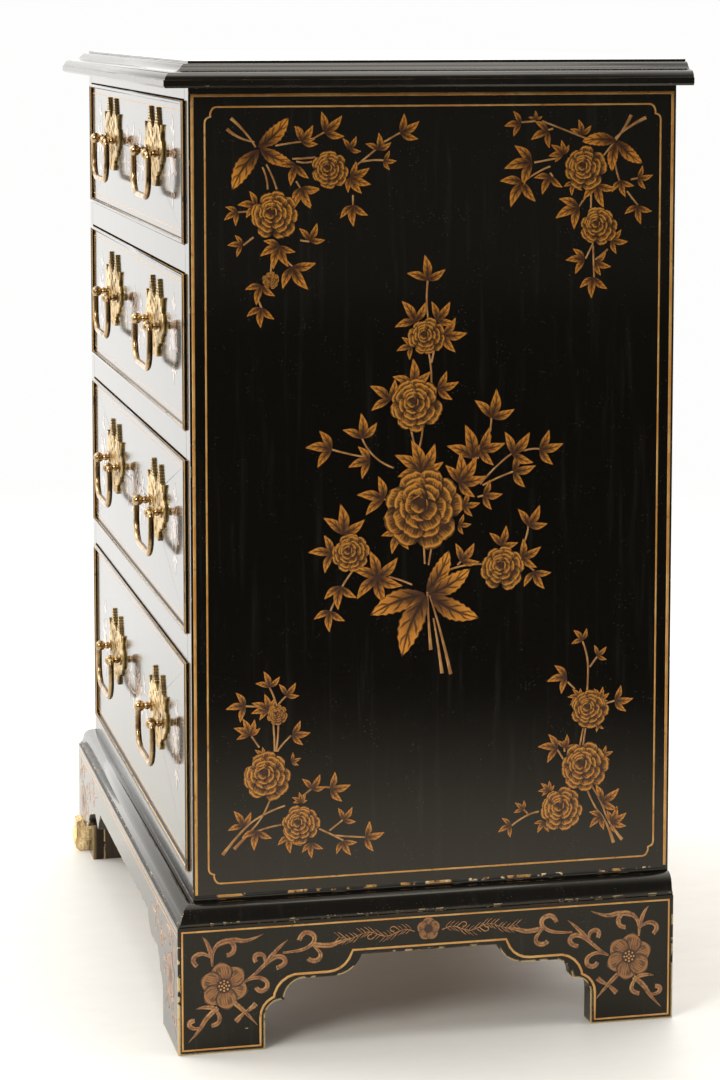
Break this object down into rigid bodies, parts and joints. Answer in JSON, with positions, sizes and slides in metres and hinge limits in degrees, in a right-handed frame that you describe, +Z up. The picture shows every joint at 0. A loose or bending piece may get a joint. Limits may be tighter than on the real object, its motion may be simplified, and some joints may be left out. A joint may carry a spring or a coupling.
{
  "type": "small chest of drawers",
  "caption": "Small lacquered chest with graduated cockbeaded drawers on bail pulls, a moulded top and bracket feet, for keeping linens and jewelry.",
  "frame": {"origin": "on the floor, under the middle of the object's box", "axes": "+Z up, -Y out of the drawer fronts, +X to the right of someone facing the drawers"},
  "size_m": [0.607, 0.413, 0.762],
  "materials": {
    "black_lacquer": "aged black lacquer, satin to gloss, with hand-painted gilt decoration",
    "gilt_paint": "worn gold paint over lacquered wood",
    "aged_brass": "cast brass with a brown patina in the recesses",
    "drawer_lining": "waxed secondary wood",
    "bare_wood": "rough unpolished secondary wood"
  },
  "bodies": {
    "case": {"back_panel": "bare_wood", "base_moulding_front": "black_lacquer", "base_moulding_left": "black_lacquer", "base_moulding_right": "black_lacquer", "bottom_rail": "black_lacquer", "case_floor": "bare_wood", "case_side_left": "black_lacquer", "case_side_right": "black_lacquer", "corner_blocks": "bare_wood", "divider_1": "black_lacquer", "divider_2": "black_lacquer", "divider_3": "black_lacquer", "drawer_runners": "bare_wood", "plinth_back": "bare_wood", "plinth_front": "black_lacquer", "plinth_left": "black_lacquer", "plinth_right": "black_lacquer", "top_kickers": "bare_wood", "top_rail": "black_lacquer", "top_slab": "black_lacquer"},
    "drawer_1": {"drawer_1_back": "drawer_lining", "drawer_1_backplates": "aged_brass", "drawer_1_cockbead": "gilt_paint", "drawer_1_floor": "drawer_lining", "drawer_1_front": "black_lacquer", "drawer_1_posts": "aged_brass", "drawer_1_side_left": "drawer_lining", "drawer_1_side_right": "drawer_lining"},
    "drawer_1_pull_left": {"drawer_1_bail_left": "aged_brass"},
    "drawer_1_pull_right": {"drawer_1_bail_right": "aged_brass"},
    "drawer_2": {"drawer_2_back": "drawer_lining", "drawer_2_backplates": "aged_brass", "drawer_2_cockbead": "gilt_paint", "drawer_2_floor": "drawer_lining", "drawer_2_front": "black_lacquer", "drawer_2_posts": "aged_brass", "drawer_2_side_left": "drawer_lining", "drawer_2_side_right": "drawer_lining"},
    "drawer_2_pull_left": {"drawer_2_bail_left": "aged_brass"},
    "drawer_2_pull_right": {"drawer_2_bail_right": "aged_brass"},
    "drawer_3": {"drawer_3_back": "drawer_lining", "drawer_3_backplates": "aged_brass", "drawer_3_cockbead": "gilt_paint", "drawer_3_floor": "drawer_lining", "drawer_3_front": "black_lacquer", "drawer_3_posts": "aged_brass", "drawer_3_side_left": "drawer_lining", "drawer_3_side_right": "drawer_lining"},
    "drawer_3_pull_left": {"drawer_3_bail_left": "aged_brass"},
    "drawer_3_pull_right": {"drawer_3_bail_right": "aged_brass"},
    "drawer_4": {"drawer_4_back": "drawer_lining", "drawer_4_backplates": "aged_brass", "drawer_4_cockbead": "gilt_paint", "drawer_4_floor": "drawer_lining", "drawer_4_front": "black_lacquer", "drawer_4_posts": "aged_brass", "drawer_4_side_left": "drawer_lining", "drawer_4_side_right": "drawer_lining"},
    "drawer_4_pull_left": {"drawer_4_bail_left": "aged_brass"},
    "drawer_4_pull_right": {"drawer_4_bail_right": "aged_brass"}
  },
  "joints": [
    {"name": "drawer_1_slide", "type": "slide", "parent": "case", "child": "drawer_1", "axis": [0, -1, 0], "range_m": [0, 0.28]},
    {"name": "drawer_1_bail_left_hinge", "type": "hinge", "parent": "drawer_1", "child": "drawer_1_pull_left", "pos_m": [-0.12, -0.1965, 0.68665], "axis": [-1, 0, 0], "range_deg": [-12, 95]},
    {"name": "drawer_1_bail_right_hinge", "type": "hinge", "parent": "drawer_1", "child": "drawer_1_pull_right", "pos_m": [0.12, -0.1965, 0.68665], "axis": [-1, 0, 0], "range_deg": [-12, 95]},
    {"name": "drawer_2_slide", "type": "slide", "parent": "case", "child": "drawer_2", "axis": [0, -1, 0], "range_m": [0, 0.28]},
    {"name": "drawer_2_bail_left_hinge", "type": "hinge", "parent": "drawer_2", "child": "drawer_2_pull_left", "pos_m": [-0.12, -0.1965, 0.54945], "axis": [-1, 0, 0], "range_deg": [-12, 95]},
    {"name": "drawer_2_bail_right_hinge", "type": "hinge", "parent": "drawer_2", "child": "drawer_2_pull_right", "pos_m": [0.12, -0.1965, 0.54945], "axis": [-1, 0, 0], "range_deg": [-12, 95]},
    {"name": "drawer_3_slide", "type": "slide", "parent": "case", "child": "drawer_3", "axis": [0, -1, 0], "range_m": [0, 0.28]},
    {"name": "drawer_3_bail_left_hinge", "type": "hinge", "parent": "drawer_3", "child": "drawer_3_pull_left", "pos_m": [-0.12, -0.1965, 0.3991], "axis": [-1, 0, 0], "range_deg": [-12, 95]},
    {"name": "drawer_3_bail_right_hinge", "type": "hinge", "parent": "drawer_3", "child": "drawer_3_pull_right", "pos_m": [0.12, -0.1965, 0.3991], "axis": [-1, 0, 0], "range_deg": [-12, 95]},
    {"name": "drawer_4_slide", "type": "slide", "parent": "case", "child": "drawer_4", "axis": [0, -1, 0], "range_m": [0, 0.28]},
    {"name": "drawer_4_bail_left_hinge", "type": "hinge", "parent": "drawer_4", "child": "drawer_4_pull_left", "pos_m": [-0.12, -0.1965, 0.2264], "axis": [-1, 0, 0], "range_deg": [-12, 95]},
    {"name": "drawer_4_bail_right_hinge", "type": "hinge", "parent": "drawer_4", "child": "drawer_4_pull_right", "pos_m": [0.12, -0.1965, 0.2264], "axis": [-1, 0, 0], "range_deg": [-12, 95]}
  ]
}
